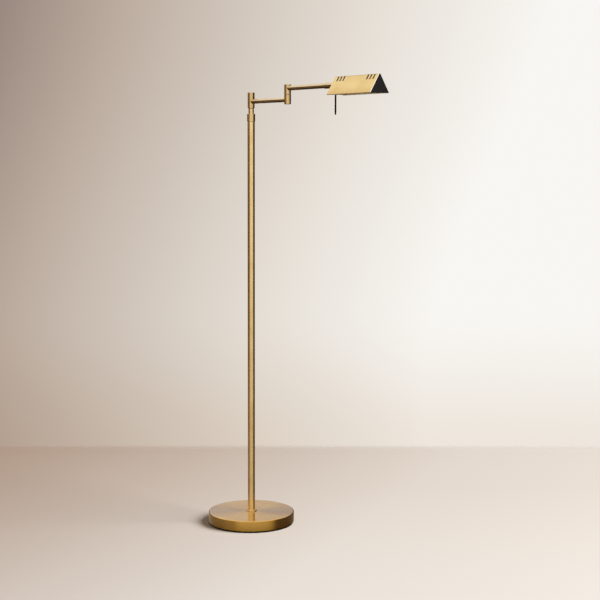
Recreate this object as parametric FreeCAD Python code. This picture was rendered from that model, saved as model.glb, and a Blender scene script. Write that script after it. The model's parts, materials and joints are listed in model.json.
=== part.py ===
"""Adjustable floor lamp: weighted disc base, telescoping pole, two-part swing arm and a tent-shaped
metal shade with an LED bar, a roll joint on the arm and a dimmer wand. Millimetres, +Z up, arms
along +X at rest, origin at the centre of the base's underside."""

import FreeCAD
import Part
import math
import os

from FreeCAD import Vector

# Fits and small edges
seat_gap = 0.05  # pressed, screwed and plugged pieces
running_gap = 0.05  # shafts and sliding pieces, on the radius
free_gap = 0.2  # holes that only clear what goes through, on the radius
face_gap = 0.1  # faces that turn on each other
lay_gap = 0.3  # leads on the tube wall
cavity_gap = 0.4  # washers and nuts inside the hub and the elbow, on the radius
edge_break = 0.5  # bevel on turned edges

# Leads inside the tubes
lead_diameter = 5.0
arm_lead_diameter = 3.6
lead_room = 0.5  # around a lead in a hollow stem
lead_spare = 20.0  # pole lead's end below the mast

# Base
base_diameter = 230.0
base_height = 32.0  # floor to the top face
base_skin = 1.2  # pressed steel cover
base_edge_radius = 2.5
pad_thickness = 5.0
pad_reveal = 4.5  # height of the pad that shows below the cover
pad_inset = 2.5  # pad edge behind the cover's rim
weight_skirt = 17.5
weight_clearance = 0.3  # cast weight inside the cover
weight_bevel = 2.0
pocket_clearance = 0.5  # fastening above the pad
flange_width = 5.0
flange_height = 3.5
flange_bevel = 1.2

# Cord inlet in the back of the base
inlet_rise = 7.0  # axis above the pad
inlet_bore = 6.5
inlet_neck = 10.0
inlet_lip = 13.0
inlet_lip_thickness = 2.0
inlet_depth = 9.0
inlet_room = 1.5  # weight's channel beyond the neck
inlet_edge = 0.8

# Fastening of the pole to the base
nipple_diameter = 10.0
nipple_grip = 23.0  # length held in the pole's foot
nipple_tail = 0.3  # nipple below the nut
foot_length = 25.0
nut_flats = 16.0
nut_height = 5.5
nut_bevel = 0.8
washer_diameter = 24.0
washer_thickness = 1.5

# Pole
pole_diameter = 19.0
pole_wall = 1.2
lower_pole_length = 393.0
upper_pole_length = 647.3
seam_bevel = 0.3
coupler_grip = 20.0  # length in each section
coupler_wall = 2.2

# Height lock at the top of the pole
collar_height = 20.0
collar_lift = 1.0  # gap above the pole's end
collar_wall = 1.55
collar_lip = 3.2
collar_bevel = 0.6
thread_step = 0.6  # thread below the pole's surface
seat_grip = 28.0  # length of the seat inside the pole
collet_height = 11.0
collet_proud = 3.7  # collet above the seat's neck
collet_inset = 0.7  # collet's upper edge behind the thread
collet_taper = 0.8  # how much the collet's wall thins from top to bottom
collet_slit = 1.5

# Mast, the inner tube that slides in the pole
mast_wall = 1.0
mast_length = 440.0
mast_shows = 14.1  # tube above the collar at the height that the lamp is set to
bush_wall = 1.2
bush_length = 30.0
bush_step = 8.0  # part of the bush below the tube's end

# Hub, where the lower arm swings on the mast
hub_diameter = 18.0
hub_height = 40.7  # with its cap
hub_floor = 6.0
hub_wall = 1.7
hub_cap_height = 4.4
hub_arm_rise = 11.2  # floor to the arm's axis
stem_diameter = 10.0
stem_grip = 22.0  # length pressed into the mast
stem_tail = 1.2  # stem beyond its nut
round_nut_height = 4.0
nut_slot = 1.6
spring_washer_thickness = 0.8
friction_washer_thickness = 0.7
cap_spigot = 1.8
cap_bevel = 0.7

# Arms
arm_diameter = 12.0
arm_wall = 1.0
lower_arm_reach = 172.0  # hub axis to elbow axis
upper_arm_reach = 206.5  # elbow axis to the shade

# Elbow, two turned halves on one hollow stem
elbow_diameter = 17.0
elbow_wall = 1.6
elbow_web = 4.5  # floor and roof that the stem goes through
elbow_below_lower_arm = 11.5  # arm's axis to the elbow's lower end
elbow_above_lower_arm = 12.0  # arm's axis to the split
elbow_below_upper_arm = 15.6  # split to the arm's axis
elbow_above_upper_arm = 9.5  # arm's axis to the elbow's upper end
elbow_cap_height = 3.1
elbow_split_bevel = 0.4
elbow_stem_diameter = 8.0
elbow_washer_inset = 0.5  # washer's edge behind the halves, the dark line of the split

# Swivel, where the shade rolls on the upper arm
sleeve_wall = 1.25
sleeve_length = 42.6  # part that shows before the shade
sleeve_seat = 10.0  # narrow end of the bore, which stops against the arm's end
sleeve_flange_width = 1.9
sleeve_flange_thickness = 1.4
spindle_grip = 22.0  # length of the spindle pressed into the arm
spindle_wall = 1.95
spindle_tail = 1.0  # spindle beyond the retainer
retainer_width = 3.0  # ring around the spindle
retainer_height = 4.0

# Shade, a bent sheet with a sharp ridge and turned-in lower edges
shade_length = 173.0
shade_width = 53.6  # between the lower corners before they are rounded
shade_drop = 45.4  # from the ridge, before it is rounded, to the lower edges
shade_sheet = 0.9
flange_to_face = 0.67  # swivel's flange to the sheet
ridge_radius = 1.4
lip_radius = 1.2
lip_width = 5.5
least_bend = 0.3  # smallest inside radius of the sheet
end_plate_thickness = 1.5
cap_face = 1.5
cap_rim_depth = 6.0
cap_rim_wall = 1.4
slot_count = 3
slot_width = 3.0
slot_pitch = 12.2
slot_edge = 15.5  # end of the sheet to the first slot
slot_drop = 12.0  # ridge to the end of a slot

# Light bar inside the shade, an extruded heat sink from face to face
bar_web = 2.0
bar_below_retainer = 1.0
bar_fin = 1.6
bar_fin_height = 7.0
fin_beyond_flange = 1.2  # middle of a fin outside the swivel's flange
bar_screw = 3.0
bar_screw_wall = 0.7
bar_screw_grip = 9.0
screw_head_width = 1.2  # head around the shank
screw_head_height = 1.6
board_width = 17.0
board_thickness = 1.2
board_end_margin = 5.0
led_count = 18
led_length = 3.5
led_width = 2.8
led_height = 0.8
lens_width = 26.0
lens_depth = 6.0
lens_wall = 1.2
lens_taper = 2.0  # how much narrower the lens is at its face, on each side
driver_length = 70.0
driver_width = 14.0
driver_height = 9.0
driver_corner = 2.0
driver_setback = 12.0  # retainer to the driver

# Dimmer
barrel_diameter = 8.4
barrel_wall = 1.0
barrel_roof = 2.0
barrel_from_edge = 0.3  # axis inside the shade's edge
gland_height = 3.0
control_height = 3.4
wand_diameter = 4.2
wand_length = 57.5  # with its head and tip
wand_head_width = 0.7  # head around the rod
wand_head_height = 2.0
tip_length = 14.0
tip_diameter = 4.8
tip_end_diameter = 3.6
tip_edge = 0.6

UP = Vector(0, 0, 1)
FORWARD = Vector(1, 0, 0)
ACROSS = Vector(0, 1, 0)

# Base and fastening, worked out from the sizes above
base_radius = base_diameter / 2
base_ceiling = base_height - base_skin
nipple_radius = nipple_diameter / 2
nipple_bottom = pad_thickness + pocket_clearance
nut_bottom = nipple_bottom + nipple_tail
nut_top = nut_bottom + nut_height
weight_bottom = nut_top + washer_thickness
weight_radius = base_radius - base_skin - weight_clearance
inlet_height = pad_thickness + inlet_rise

# Pole, collar and mast
pole_radius = pole_diameter / 2
pole_bore_radius = pole_radius - pole_wall
pole_seam = base_height + lower_pole_length
pole_top = pole_seam + upper_pole_length
mast_radius = pole_bore_radius - running_gap - bush_wall - seat_gap
mast_bore_radius = mast_radius - mast_wall
collar_bottom = pole_top + collar_lift
collar_top = collar_bottom + collar_height
thread_radius = pole_radius - thread_step
collar_radius = thread_radius + running_gap + collar_wall
collet_top = collar_top - collar_lip - face_gap
collet_bottom = collet_top - collet_height
neck_top = collet_top - collet_proud
mast_top = collar_top + mast_shows
mast_bottom = mast_top - mast_length

# Hub
hub_radius = hub_diameter / 2
hub_cavity_radius = hub_radius - hub_wall
hub_bottom = mast_top + friction_washer_thickness + face_gap
hub_shelf = hub_bottom + hub_floor
hub_top = hub_bottom + hub_height
hub_seam = hub_top - hub_cap_height
hub_nut_bottom = hub_shelf + face_gap + spring_washer_thickness
hub_nut_top = hub_nut_bottom + round_nut_height
stem_radius = stem_diameter / 2
stem_bore_radius = lead_diameter / 2 + lead_room

# Arms and elbow
arm_radius = arm_diameter / 2
arm_bore_radius = arm_radius - arm_wall
lower_arm_height = hub_shelf + hub_arm_rise
elbow_radius = elbow_diameter / 2
elbow_cavity_radius = elbow_radius - elbow_wall
elbow_stem_radius = elbow_stem_diameter / 2
elbow_stem_bore_radius = arm_lead_diameter / 2 + lead_room
elbow_bottom = lower_arm_height - elbow_below_lower_arm
elbow_split = lower_arm_height + elbow_above_lower_arm
elbow_roof_bottom = elbow_split - elbow_web
elbow_nut_top = elbow_roof_bottom - face_gap - spring_washer_thickness
elbow_nut_bottom = elbow_nut_top - round_nut_height
elbow_floor_bottom = elbow_split + face_gap + friction_washer_thickness
elbow_floor_top = elbow_floor_bottom + elbow_web
upper_arm_height = elbow_floor_bottom + elbow_below_upper_arm
elbow_top = upper_arm_height + elbow_above_upper_arm

# Swivel and shade
shade_start = lower_arm_reach + upper_arm_reach
shade_end = shade_start + shade_length
sleeve_radius = arm_radius + running_gap + sleeve_wall
sleeve_start = shade_start - sleeve_length
sleeve_flange_radius = sleeve_radius + sleeve_flange_width
barrel_radius = barrel_diameter / 2
wand_x = shade_start + barrel_from_edge
plate_start = wand_x + barrel_radius + face_gap + sleeve_flange_thickness
plate_end = plate_start + end_plate_thickness
sleeve_step = plate_start - sleeve_seat
arm_end = sleeve_step - face_gap
spindle_radius = arm_bore_radius - seat_gap
spindle_start = arm_end - spindle_grip
retainer_radius = spindle_radius + seat_gap + retainer_width
retainer_start = plate_end + face_gap + friction_washer_thickness
retainer_end = retainer_start + retainer_height
ridge_half_angle = math.atan2(shade_width / 2, shade_drop)
ridge_above_arm = (sleeve_flange_radius + flange_to_face + shade_sheet) / math.sin(ridge_half_angle)
ridge_height = upper_arm_height + ridge_above_arm
shade_bottom = ridge_height - shade_drop

# Light bar
bar_start = plate_end
bar_end = shade_end - cap_rim_depth
web_top = upper_arm_height - retainer_radius - bar_below_retainer
web_bottom = web_top - bar_web
fin_offset = sleeve_flange_radius + fin_beyond_flange
screw_height = web_top + bar_screw / 2
board_start = bar_start + board_end_margin
board_end = bar_end - board_end_margin
board_bottom = web_bottom - board_thickness

# Dimmer
barrel_ceiling = upper_arm_height - sleeve_radius - barrel_roof
wand_top = barrel_ceiling - control_height - face_gap
head_bottom = wand_top - wand_head_height
barrel_bottom = head_bottom - face_gap - gland_height
wand_bottom = wand_top - wand_length
tip_top = wand_bottom + tip_length


def post(radius, bottom, top, x=0.0):
    """A round bar along Z."""
    return Part.makeCylinder(radius, top - bottom, Vector(x, 0, bottom), UP)


def pipe(outer, inner, bottom, top, x=0.0):
    """A round tube along Z."""
    return post(outer, bottom, top, x).cut(post(inner, bottom, top, x))


def rod(radius, start, end, height, y=0.0):
    """A round bar along X."""
    return Part.makeCylinder(radius, end - start, Vector(start, y, height), FORWARD)


def tube(outer, inner, start, end, height):
    """A round tube along X."""
    return rod(outer, start, end, height).cut(rod(inner, start, end, height))


def block(x_low, x_high, y_low, y_high, z_low, z_high):
    """A box between two corners."""
    corner = Vector(x_low, y_low, z_low)
    return Part.makeBox(x_high - x_low, y_high - y_low, z_high - z_low, corner)


def turned(profile, x=0.0):
    """A solid of revolution about a vertical axis, from (radius, height) corners."""
    corners = [Vector(x + radius, 0, height) for radius, height in profile]
    face = Part.Face(Part.makePolygon(corners + corners[:1]))
    return face.revolve(Vector(x, 0, 0), UP, 360)


def turned_along_x(profile, height):
    """A solid of revolution about a line along X, from (place along X, radius) corners."""
    corners = [Vector(place, 0, height + radius) for place, radius in profile]
    face = Part.Face(Part.makePolygon(corners + corners[:1]))
    return face.revolve(Vector(0, 0, height), FORWARD, 360)


def rims(shape, radius, height):
    """The round edges of one radius at one height."""
    found = []
    for edge in shape.Edges:
        curve = edge.Curve
        if not isinstance(curve, Part.Circle):
            continue
        if abs(curve.Radius - radius) < 1e-3 and abs(curve.Center.z - height) < 1e-3:
            found.append(edge)
    return found


def rounded(shape, amount, radius, height):
    """The shape with a fillet on its round edge of that radius and height."""
    return shape.makeFillet(amount, rims(shape, radius, height))


def bevelled(shape, amount, radius, height):
    """The shape with a bevel on its round edge of that radius and height."""
    return shape.makeChamfer(amount, rims(shape, radius, height))


def make_base_cover():
    """Pressed cover: a flat-topped pan with a soft edge, open below."""
    outside = post(base_radius, pad_reveal, base_height)
    outside = rounded(outside, base_edge_radius, base_radius, base_height)
    inner_radius = base_radius - base_skin
    inside = post(inner_radius, pad_reveal, base_ceiling)
    inside = bevelled(inside, max(base_edge_radius - base_skin, least_bend), inner_radius, base_ceiling)
    cover = outside.cut(inside)
    cover = cover.cut(post(nipple_radius + seat_gap, base_ceiling, base_height))
    return cover.cut(rod(inlet_neck / 2 + seat_gap, -2 * base_radius, 0, inlet_height))


def make_base_weight():
    """Cast disc with a skirt, a pocket for the fastening and a way through the skirt for the lead."""
    casting = post(weight_radius, pad_thickness, base_ceiling)
    casting = bevelled(casting, weight_bevel, weight_radius, base_ceiling)
    pocket_radius = weight_radius - weight_skirt
    casting = casting.cut(post(pocket_radius, pad_thickness, weight_bottom))
    casting = casting.cut(post(nipple_radius + seat_gap, weight_bottom, base_ceiling))
    half = inlet_neck / 2 + inlet_room
    inner = -pocket_radius + weight_bevel
    channel = block(-base_radius, inner, -half, half, pad_thickness, inlet_height + half)
    return casting.cut(channel)


def make_base_pad():
    """Rubber pad under the weight, set in from the rim."""
    radius = base_radius - pad_inset
    return bevelled(post(radius, 0, pad_thickness), edge_break, radius, 0)


def make_cord_inlet():
    """Round bush in the hole in the cover's rim, with a lip outside."""
    lip_face = -base_radius - inlet_lip_thickness
    inner_end = -base_radius + inlet_depth
    lip = inlet_lip / 2
    neck = inlet_neck / 2
    hole = inlet_bore / 2
    profile = [
        (lip_face, hole + inlet_edge),
        (lip_face + inlet_edge, hole),
        (inner_end, hole),
        (inner_end, neck - edge_break),
        (inner_end - edge_break, neck),
        (-base_radius, neck),
        (-base_radius, lip),
        (lip_face + inlet_edge, lip),
        (lip_face, lip - inlet_edge),
    ]
    return turned_along_x(profile, inlet_height)


def make_base_nipple():
    """Hollow threaded tube that clamps weight, cover and pole together."""
    bore = lead_diameter / 2 + lead_room
    return pipe(nipple_radius, bore, nipple_bottom, base_height + nipple_grip)


def make_base_washer():
    return pipe(washer_diameter / 2, nipple_radius + seat_gap, nut_top, weight_bottom)


def make_base_nut():
    """Hexagon nut with its corners turned off."""
    corner = nut_flats / math.sqrt(3)
    angles = [math.radians(60 * i) for i in range(6)]
    points = [Vector(corner * math.cos(a), corner * math.sin(a), nut_bottom) for a in angles]
    nut = Part.Face(Part.makePolygon(points + points[:1])).extrude(UP * nut_height)
    turned_off = bevelled(post(corner, nut_bottom, nut_top), nut_bevel, corner, nut_bottom)
    return nut.common(turned_off).cut(post(nipple_radius + seat_gap, nut_bottom, nut_top))


def make_pole_flange():
    """Ring that covers the foot of the pole."""
    inner = pole_radius + seat_gap
    outer = inner + flange_width
    top = base_height + flange_height
    return bevelled(pipe(outer, inner, base_height, top), flange_bevel, outer, top)


def make_pole_foot():
    """Turned plug in the lower section, threaded for the nipple."""
    radius = pole_bore_radius - seat_gap
    top = base_height + foot_length
    plug = pipe(radius, nipple_radius + seat_gap, base_height, top)
    return bevelled(plug, edge_break, radius, top)


def make_lower_pole():
    section = pipe(pole_radius, pole_bore_radius, base_height, pole_seam)
    return bevelled(section, seam_bevel, pole_radius, pole_seam)


def make_pole_coupler():
    """Threaded plug that joins the two pole sections."""
    radius = pole_bore_radius - seat_gap
    low = pole_seam - coupler_grip
    high = pole_seam + coupler_grip
    plug = pipe(radius, radius - coupler_wall, low, high)
    return bevelled(bevelled(plug, edge_break, radius, low), edge_break, radius, high)


def make_upper_pole():
    section = pipe(pole_radius, pole_bore_radius, pole_seam, pole_top)
    return bevelled(section, seam_bevel, pole_radius, pole_seam)


def collet_radius(height):
    """Outside of the tapered collet at a height."""
    share = (collet_top - height) / collet_height
    return thread_radius - collet_inset - collet_taper * share


def make_collar_seat():
    """Pressed into the pole's end: a guide bore, a threaded neck and a cone for the collet."""
    plug = pole_bore_radius - seat_gap
    guide = mast_radius + free_gap
    seat_bottom = pole_top - seat_grip
    cone_bottom = collet_bottom - face_gap
    profile = [
        (guide, seat_bottom),
        (plug - edge_break, seat_bottom),
        (plug, seat_bottom + edge_break),
        (plug, pole_top),
        (thread_radius, pole_top),
        (thread_radius, neck_top),
        (collet_radius(neck_top) + seat_gap, neck_top),
        (collet_radius(collet_bottom) + seat_gap, cone_bottom),
        (guide, cone_bottom),
    ]
    return turned(profile)


def make_grip_collet():
    """Split nylon ring that the collar squeezes on to the mast."""
    hole = mast_radius + running_gap
    profile = [
        (hole, collet_bottom),
        (collet_radius(collet_bottom), collet_bottom),
        (collet_radius(collet_top), collet_top),
        (hole, collet_top),
    ]
    half = collet_slit / 2
    return turned(profile).cut(block(-thread_radius, 0, -half, half, collet_bottom, collet_top))


def make_height_collar():
    """Lock ring, threaded inside, with a lip that bears on the collet."""
    thread = thread_radius + running_gap
    lip_hole = mast_radius + free_gap
    lip_bottom = collar_top - collar_lip
    profile = [
        (thread, collar_bottom),
        (collar_radius - collar_bevel, collar_bottom),
        (collar_radius, collar_bottom + collar_bevel),
        (collar_radius, collar_top - collar_bevel),
        (collar_radius - collar_bevel, collar_top),
        (lip_hole, collar_top),
        (lip_hole, lip_bottom),
        (thread, lip_bottom),
    ]
    return turned(profile)


def make_mast_tube():
    return pipe(mast_radius, mast_bore_radius, mast_bottom, mast_top)


def make_guide_bush():
    """Nylon bush on the lower end of the mast, sliding in the pole."""
    outer = pole_bore_radius - running_gap
    inner = mast_radius + seat_gap
    low = mast_bottom - bush_step
    high = low + bush_length
    profile = [
        (mast_bore_radius, low),
        (outer - edge_break, low),
        (outer, low + edge_break),
        (outer, high - edge_break),
        (outer - edge_break, high),
        (inner, high),
        (inner, mast_bottom),
        (mast_bore_radius, mast_bottom),
    ]
    return turned(profile)


def make_hub_stem():
    """Hollow pivot stem, pressed into the mast and standing up through the hub's floor."""
    plug = mast_bore_radius - seat_gap
    low = mast_top - stem_grip
    high = hub_nut_top + stem_tail
    profile = [
        (stem_bore_radius, low),
        (plug - edge_break, low),
        (plug, low + edge_break),
        (plug, mast_top),
        (stem_radius, mast_top),
        (stem_radius, high - edge_break),
        (stem_radius - edge_break, high),
        (stem_bore_radius, high),
    ]
    return turned(profile)


def slotted_nut(outer, hole, low, high, x=0.0):
    """Round nut with two spanner slots across its upper face."""
    half = nut_slot / 2
    slots = block(x - outer, x + outer, -half, half, high - (high - low) / 3, high)
    return pipe(outer, hole, low, high, x).cut(slots)


def make_hub_friction_washer():
    return pipe(mast_radius, stem_radius + running_gap, mast_top, mast_top + friction_washer_thickness)


def make_hub_spring_washer():
    low = hub_nut_bottom - spring_washer_thickness
    return pipe(hub_cavity_radius - cavity_gap, stem_radius + seat_gap, low, hub_nut_bottom)


def make_hub_nut():
    outer = hub_cavity_radius - cavity_gap
    return slotted_nut(outer, stem_radius + seat_gap, hub_nut_bottom, hub_nut_top)


def make_hub_body():
    """Turned cup with a floor for the stem and a side hole for the lower arm."""
    cup = bevelled(post(hub_radius, hub_bottom, hub_seam), edge_break, hub_radius, hub_bottom)
    cup = cup.cut(post(hub_cavity_radius, hub_shelf, hub_seam))
    cup = cup.cut(post(stem_radius + running_gap, hub_bottom, hub_shelf))
    return cup.cut(rod(arm_radius, 0, 2 * hub_radius, lower_arm_height))


def make_hub_cap():
    """Cap with a spigot that plugs into the hub's cavity."""
    plate = bevelled(post(hub_radius, hub_seam, hub_top), cap_bevel, hub_radius, hub_top)
    spigot = post(hub_cavity_radius - seat_gap, hub_seam - cap_spigot, hub_seam)
    return plate.fuse(spigot).removeSplitter()


def make_lower_arm():
    """Tube between hub and elbow, its ends cut to the two cavities."""
    arm = tube(arm_radius, arm_bore_radius, 0, lower_arm_reach, lower_arm_height)
    arm = arm.cut(post(hub_cavity_radius, hub_bottom, hub_seam))
    return arm.cut(post(elbow_cavity_radius, elbow_bottom, elbow_split, lower_arm_reach))


def make_elbow_lower():
    """Lower half: a roof that the stem goes through, and a cavity open below."""
    x = lower_arm_reach
    seam = elbow_bottom + elbow_cap_height
    half = post(elbow_radius, seam, elbow_split, x)
    half = bevelled(half, elbow_split_bevel, elbow_radius, elbow_split)
    half = half.cut(post(elbow_cavity_radius, seam, elbow_roof_bottom, x))
    half = half.cut(post(elbow_stem_radius + running_gap, elbow_roof_bottom, elbow_split, x))
    return half.cut(rod(arm_radius, x - 2 * elbow_radius, x, lower_arm_height))


def make_elbow_bottom_cap():
    x = lower_arm_reach
    seam = elbow_bottom + elbow_cap_height
    plate = bevelled(post(elbow_radius, elbow_bottom, seam, x), cap_bevel, elbow_radius, elbow_bottom)
    spigot = post(elbow_cavity_radius - seat_gap, seam, seam + cap_spigot, x)
    return plate.fuse(spigot).removeSplitter()


def make_elbow_friction_washer():
    """Nylon washer between the halves, a little smaller than they are."""
    outer = elbow_radius - elbow_washer_inset
    low = elbow_split + face_gap
    return pipe(outer, elbow_stem_radius + seat_gap, low, elbow_floor_bottom, lower_arm_reach)


def make_elbow_upper():
    """Upper half: a floor that holds the stem, and a cavity open above."""
    x = lower_arm_reach
    seam = elbow_top - elbow_cap_height
    half = post(elbow_radius, elbow_floor_bottom, seam, x)
    half = bevelled(half, elbow_split_bevel, elbow_radius, elbow_floor_bottom)
    half = half.cut(post(elbow_cavity_radius, elbow_floor_top, seam, x))
    half = half.cut(post(elbow_stem_radius + seat_gap, elbow_floor_bottom, elbow_floor_top, x))
    return half.cut(rod(arm_radius, x, x + 2 * elbow_radius, upper_arm_height))


def make_elbow_cap():
    x = lower_arm_reach
    seam = elbow_top - elbow_cap_height
    plate = bevelled(post(elbow_radius, seam, elbow_top, x), cap_bevel, elbow_radius, elbow_top)
    spigot = post(elbow_cavity_radius - seat_gap, seam - cap_spigot, seam, x)
    return plate.fuse(spigot).removeSplitter()


def make_elbow_spring_washer():
    outer = elbow_cavity_radius - cavity_gap
    high = elbow_roof_bottom - face_gap
    return pipe(outer, elbow_stem_radius + seat_gap, elbow_nut_top, high, lower_arm_reach)


def make_elbow_nut():
    outer = elbow_cavity_radius - cavity_gap
    hole = elbow_stem_radius + seat_gap
    return slotted_nut(outer, hole, elbow_nut_bottom, elbow_nut_top, lower_arm_reach)


def make_elbow_stem():
    """Hollow threaded stem through both halves."""
    low = elbow_nut_bottom - stem_tail
    high = elbow_floor_top + stem_tail
    return pipe(elbow_stem_radius, elbow_stem_bore_radius, low, high, lower_arm_reach)


def make_upper_arm():
    """Tube from the elbow into the swivel sleeve."""
    arm = tube(arm_radius, arm_bore_radius, lower_arm_reach, arm_end, upper_arm_height)
    return arm.cut(post(elbow_cavity_radius, elbow_floor_top, elbow_top, lower_arm_reach))


def make_roll_spindle():
    """Hollow spindle pressed into the arm's end, which the shade turns on."""
    end = retainer_end + spindle_tail
    return tube(spindle_radius, spindle_radius - spindle_wall, spindle_start, end, upper_arm_height)


def make_roll_washer():
    """Nylon washer between the shade's end plate and the retainer."""
    start = retainer_start - friction_washer_thickness
    return tube(retainer_radius, spindle_radius + seat_gap, start, retainer_start, upper_arm_height)


def make_spindle_retainer():
    """Round nut on the spindle that keeps the shade on."""
    hole = spindle_radius + seat_gap
    ring = tube(retainer_radius, hole, retainer_start, retainer_end, upper_arm_height)
    half = nut_slot / 2
    slot_start = retainer_end - retainer_height / 3
    width = retainer_radius
    return ring.cut(
        block(slot_start, retainer_end, -width, width, upper_arm_height - half, upper_arm_height + half)
    )


def make_swivel_sleeve():
    """Sleeve that turns on the arm and the spindle, staked to the shade's end plate by its flange."""
    flange_face = plate_start - sleeve_flange_thickness
    wide_bore = arm_radius + running_gap
    narrow_bore = spindle_radius + running_gap
    profile = [
        (sleeve_start, wide_bore),
        (sleeve_start, sleeve_radius - edge_break),
        (sleeve_start + edge_break, sleeve_radius),
        (flange_face, sleeve_radius),
        (flange_face, sleeve_flange_radius),
        (plate_start, sleeve_flange_radius),
        (plate_start, narrow_bore),
        (sleeve_step, narrow_bore),
        (sleeve_step, wide_bore),
    ]
    return turned_along_x(profile, upper_arm_height)


def tent(inward, start, end):
    """Prism of the shade's triangular section, each face moved in by the same amount."""
    peak = ridge_height - inward / math.sin(ridge_half_angle)
    foot = shade_bottom + inward
    half = (peak - foot) * math.tan(ridge_half_angle)
    corners = [Vector(start, 0, peak), Vector(start, half, foot), Vector(start, -half, foot)]
    prism = Part.Face(Part.makePolygon(corners + corners[:1])).extrude(FORWARD * (end - start))
    prism = prism.makeFillet(max(ridge_radius - inward, least_bend), long_edges(prism, 0, peak))
    lower = long_edges(prism, half, foot) + long_edges(prism, -half, foot)
    return prism.makeFillet(max(lip_radius - inward, least_bend), lower)


def long_edges(prism, y, z):
    """The edges along X at one place of the section."""
    found = []
    for edge in prism.Edges:
        box = edge.BoundBox
        if box.XLength > box.YLength + box.ZLength and abs(box.YMax - y) < 1e-3 and abs(box.ZMax - z) < 1e-3:
            found.append(edge)
    return found


def vent_slot(place):
    """Cutter for one slot over the ridge, running down both faces to a round end."""
    radius = slot_width / 2
    depth = 2 * shade_sheet
    reach = slot_drop / math.cos(ridge_half_angle) - radius
    halves = []
    for side in (-1, 1):
        blade = Part.makeBox(slot_width, 2 * depth, reach, Vector(place - radius, -depth, -reach))
        blade = blade.fuse(Part.makeCylinder(radius, 2 * depth, Vector(place, -depth, -reach), ACROSS))
        blade.rotate(Vector(0, 0, 0), FORWARD, side * math.degrees(ridge_half_angle))
        blade.translate(UP * ridge_height)
        halves.append(blade)
    return halves[0].fuse(halves[1])


def make_shade_shell():
    """Bent sheet: ridge, two faces, turned-in lower edges and a group of vent slots at each end."""
    inside = tent(shade_sheet, shade_start, shade_end)
    shell = tent(0, shade_start, shade_end).cut(inside)
    half = shade_width / 2 - lip_width
    high = shade_bottom + 2 * shade_sheet
    shell = shell.cut(block(shade_start, shade_end, -half, half, shade_bottom, high))
    for i in range(slot_count):
        inset = slot_edge + i * slot_pitch
        shell = shell.cut(vent_slot(shade_start + inset))
        shell = shell.cut(vent_slot(shade_end - inset))
    return shell


def bar_screw_line(radius, side, start, end):
    """A round bar on the axis of one of the two light bar screws."""
    return rod(radius, start, end, screw_height, side * fin_offset)


def make_arm_end_plate():
    """Plate that closes the shade on the arm's side, set in from the edge."""
    plate = tent(shade_sheet + seat_gap, plate_start, plate_end)
    plate = plate.cut(rod(spindle_radius + free_gap, plate_start, plate_end, upper_arm_height))
    for side in (-1, 1):
        plate = plate.cut(bar_screw_line(bar_screw / 2 + seat_gap, side, plate_start, plate_end))
    return plate


def make_tip_end_cap():
    """Moulded cap: a face that covers the sheet's edge and a rim that plugs into the shade."""
    fit = shade_sheet + seat_gap
    rim = tent(fit, bar_end, shade_end).cut(tent(fit + cap_rim_wall, bar_end, shade_end))
    return tent(0, shade_end, shade_end + cap_face).fuse(rim).removeSplitter()


def make_light_bar():
    """Extruded heat sink: a web between the two faces, two fins and a screw channel at each fin."""
    width = shade_width
    section = block(bar_start, bar_end, -width, width, web_bottom, web_top)
    for side in (-1, 1):
        near = side * fin_offset - bar_fin / 2
        fin = block(bar_start, bar_end, near, near + bar_fin, web_top, web_top + bar_fin_height)
        wall = bar_screw_line(bar_screw / 2 + bar_screw_wall, side, bar_start, bar_end)
        section = section.fuse([fin, wall])
    section = section.common(tent(shade_sheet + seat_gap, bar_start, bar_end)).removeSplitter()
    for side in (-1, 1):
        section = section.cut(bar_screw_line(bar_screw / 2, side, bar_start, bar_end))
    return section


def make_bar_screws():
    """Two pan-head screws through the end plate into the bar's channels."""
    screws = []
    for side in (-1, 1):
        shank = bar_screw_line(bar_screw / 2 - seat_gap, side, plate_start, bar_start + bar_screw_grip)
        head_radius = bar_screw / 2 + screw_head_width
        head = bar_screw_line(head_radius, side, plate_start - screw_head_height, plate_start)
        screws.append(shank.fuse(head).removeSplitter())
    return Part.makeCompound(screws)


def make_led_board():
    half = board_width / 2
    return block(board_start, board_end, -half, half, board_bottom, web_bottom)


def make_led_chips():
    """Row of surface-mounted emitters along the board."""
    half = led_width / 2
    pitch = (board_end - board_start) / led_count
    chips = []
    for i in range(led_count):
        start = board_start + (i + 0.5) * pitch - led_length / 2
        chips.append(block(start, start + led_length, -half, half, board_bottom - led_height, board_bottom))
    return Part.makeCompound(chips)


def make_led_driver():
    """Sealed driver on top of the bar, between the fins."""
    start = retainer_end + driver_setback
    half = driver_width / 2
    case = block(start, start + driver_length, -half, half, web_top, web_top + driver_height)
    upright = [edge for edge in case.Edges if edge.BoundBox.ZLength > edge.BoundBox.DiagonalLength / 2]
    return case.makeChamfer(driver_corner, upright)


def channel(top_half, low_half, low, high, start, end):
    """Prism along X with a trapezium section."""
    corners = [
        Vector(start, -low_half, low),
        Vector(start, low_half, low),
        Vector(start, top_half, high),
        Vector(start, -top_half, high),
    ]
    return Part.Face(Part.makePolygon(corners + corners[:1])).extrude(FORWARD * (end - start))


def make_light_lens():
    """Frosted trough under the board, narrower at its face, with closed ends."""
    top = lens_width / 2
    face = top - lens_taper
    low = web_bottom - lens_depth
    outside = channel(top, face, low, web_bottom, bar_start, bar_end)
    wall = lens_wall
    inside = channel(top - wall, face - wall, low + wall, web_bottom, bar_start + wall, bar_end - wall)
    return outside.cut(inside)


def make_dimmer_barrel():
    """Cup under the sleeve that holds the dimmer, its top cut to sit on the sleeve."""
    barrel = post(barrel_radius, barrel_bottom, upper_arm_height, wand_x)
    reach = 2 * barrel_radius
    barrel = barrel.cut(rod(sleeve_radius, wand_x - reach, wand_x + reach, upper_arm_height))
    return barrel.cut(post(barrel_radius - barrel_wall, barrel_bottom, barrel_ceiling, wand_x))


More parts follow.
